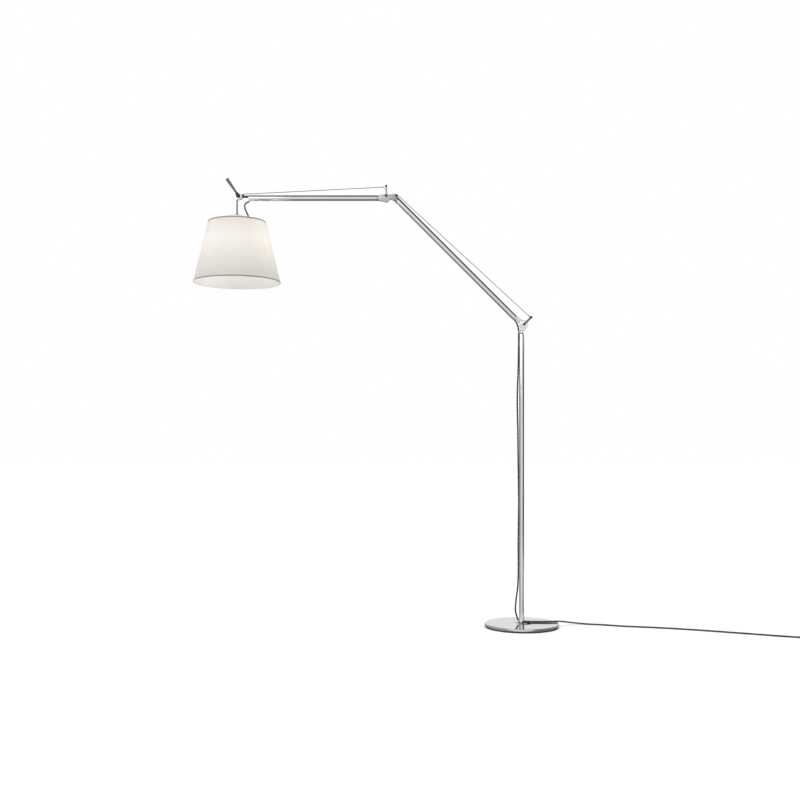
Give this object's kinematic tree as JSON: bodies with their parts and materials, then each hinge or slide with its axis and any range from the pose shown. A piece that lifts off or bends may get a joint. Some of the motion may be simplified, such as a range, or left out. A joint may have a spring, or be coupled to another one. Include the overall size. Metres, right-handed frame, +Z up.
{
  "type": "adjustable arm floor lamp",
  "caption": "Floor lamp: a pole on a heavy round base carries two spring-balanced arms that swivel, lift and fold, with a tilting conical fabric shade at the tip.",
  "frame": {"origin": "centre of the base's underside, on the floor", "axes": "+Z up along the pole; the arms swing in the XZ plane and reach towards -X; +Y is the back"},
  "size_m": [3.0599, 0.5331, 2.1725],
  "materials": {
    "polished_aluminium": "polished",
    "satin_aluminium": "satin",
    "steel": "satin",
    "cast_iron": "matte",
    "black_plastic": "satin",
    "white_enamel": "satin",
    "brown_plastic": "satin",
    "grey_handle": "satin",
    "shade_fabric": "matte",
    "shade_trim": "matte",
    "cable_grey": "satin",
    "opal_glass": "satin",
    "rubber": "matte"
  },
  "bodies": {
    "base": {"base_pad": "rubber", "base_weight": "cast_iron", "base_cover": "polished_aluminium", "pole_washer": "steel", "pole_bolt": "steel", "pole_plug": "steel", "pole_tube": "polished_aluminium", "pole_top_bush": "satin_aluminium", "foot_clip": "black_plastic", "mast_cable": "cable_grey", "mains_cord": "cable_grey", "switch_base": "black_plastic", "switch_cover": "black_plastic", "tail_cord": "cable_grey", "cord_coil": "cable_grey", "plug": "black_plastic"},
    "button": {"switch_button": "black_plastic"},
    "bracket": {"swivel_pin": "steel", "knee_bracket": "satin_aluminium", "knee_washer_front": "steel", "knee_washer_back": "steel", "knee_pin": "black_plastic", "knee_lever_front": "steel", "knee_lever_back": "steel", "knee_lever_pin": "black_plastic", "neck_clip": "black_plastic", "knee_cable": "cable_grey"},
    "lower_arm": {"lower_tube": "polished_aluminium", "lower_heel": "satin_aluminium", "lower_wire": "steel", "lower_spring": "steel", "lower_head": "satin_aluminium", "lower_pulley": "black_plastic", "lower_pulley_pin": "black_plastic", "elbow_lever": "steel", "elbow_lever_pin": "black_plastic", "elbow_pin": "black_plastic"},
    "upper_arm": {"upper_tube": "polished_aluminium", "upper_fork": "satin_aluminium", "upper_spring": "steel", "upper_tip": "black_plastic", "tip_pulley": "black_plastic", "tip_pulley_pin": "steel", "upper_wire": "steel", "elbow_cable": "cable_grey", "head_cable": "cable_grey"},
    "head": {"head_fork": "polished_aluminium", "handle_clamp": "black_plastic", "head_pin": "black_plastic", "handle": "grey_handle", "stem": "satin_aluminium", "hub_flange": "brown_plastic", "shade_carrier": "white_enamel", "shade_spider": "white_enamel", "shade": "shade_fabric", "shade_top_trim": "shade_trim", "shade_bottom_trim": "shade_trim", "lampholder": "white_enamel", "bulb_glass": "opal_glass"}
  },
  "joints": [
    {"name": "button_press", "type": "slide", "parent": "base", "child": "button", "axis": [0, 0, -1], "range_m": [0, 0.0025], "stiffness_N_per_m": 400},
    {"name": "pole_swivel", "type": "hinge", "parent": "base", "child": "bracket", "pos_m": [0, 0, 1.417], "axis": [0, 0, 1], "range_deg": [-170, 170], "deforming": ["mast_cable"]},
    {"name": "knee_hinge", "type": "hinge", "parent": "bracket", "child": "lower_arm", "pos_m": [0.0097, 0, 1.4617], "axis": [0, 1, 0], "range_deg": [-45, 45], "deforming": ["lower_wire", "knee_cable"]},
    {"name": "elbow_hinge", "type": "hinge", "parent": "lower_arm", "child": "upper_arm", "pos_m": [-0.65533, 0, 2.08459], "axis": [0, 1, 0], "range_deg": [-60, 45], "deforming": ["upper_wire", "elbow_cable"]},
    {"name": "head_tilt", "type": "hinge", "parent": "upper_arm", "child": "head", "pos_m": [-1.36603, 0, 2.07999], "axis": [0, 1, 0], "range_deg": [-30, 50], "deforming": ["head_cable"]}
  ]
}
